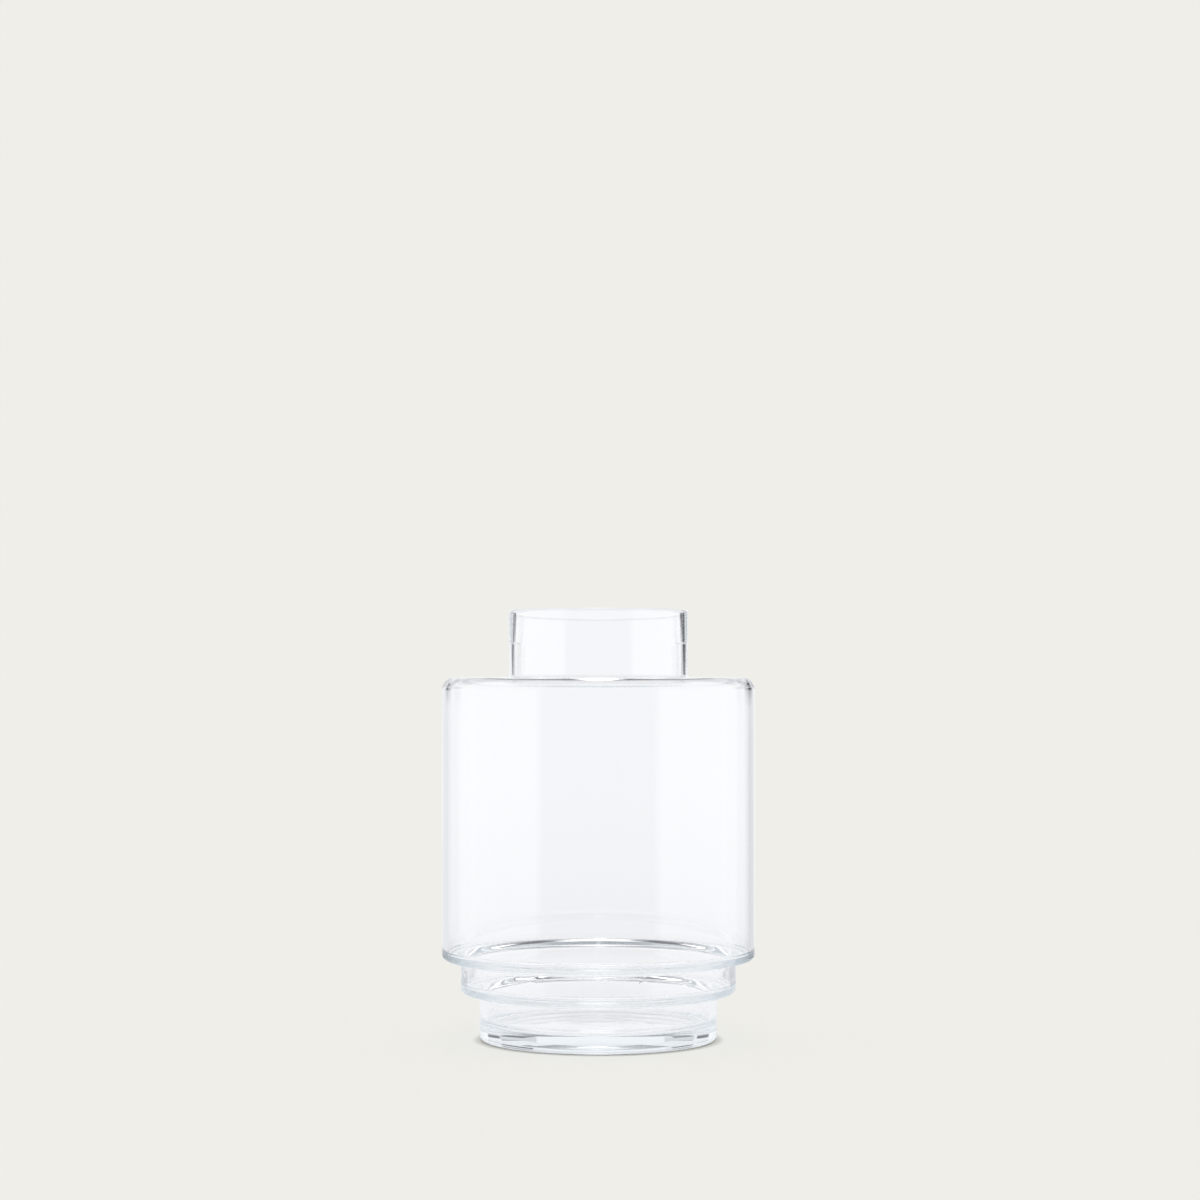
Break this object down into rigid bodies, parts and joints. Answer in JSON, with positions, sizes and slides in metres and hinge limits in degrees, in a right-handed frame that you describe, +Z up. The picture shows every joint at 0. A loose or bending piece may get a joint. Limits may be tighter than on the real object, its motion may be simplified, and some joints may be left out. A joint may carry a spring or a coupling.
{
  "type": "glass cylinder vase",
  "caption": "Clear glass cylinder vase: a wide straight body over two smaller steps, with a flat shoulder, a short wide neck and a rounded rim.",
  "frame": {"origin": "centre of the standing ring, on the surface the vase stands on", "axes": "+Z up along the axis the vase is turned about; +X and +Y are level, and every direction round the axis is alike"},
  "size_m": [0.17, 0.17, 0.2334],
  "materials": {
    "clear_glass": "clear, smooth and glossy soda-lime glass with a faint cool tint, very slightly wavy inside the steps, rim fire-polished"
  },
  "bodies": {
    "root": {"base_disc": "clear_glass", "lower_step": "clear_glass", "lower_ledge": "clear_glass", "upper_step": "clear_glass", "upper_ledge": "clear_glass", "body_wall": "clear_glass", "shoulder": "clear_glass", "neck": "clear_glass"}
  },
  "joints": []
}
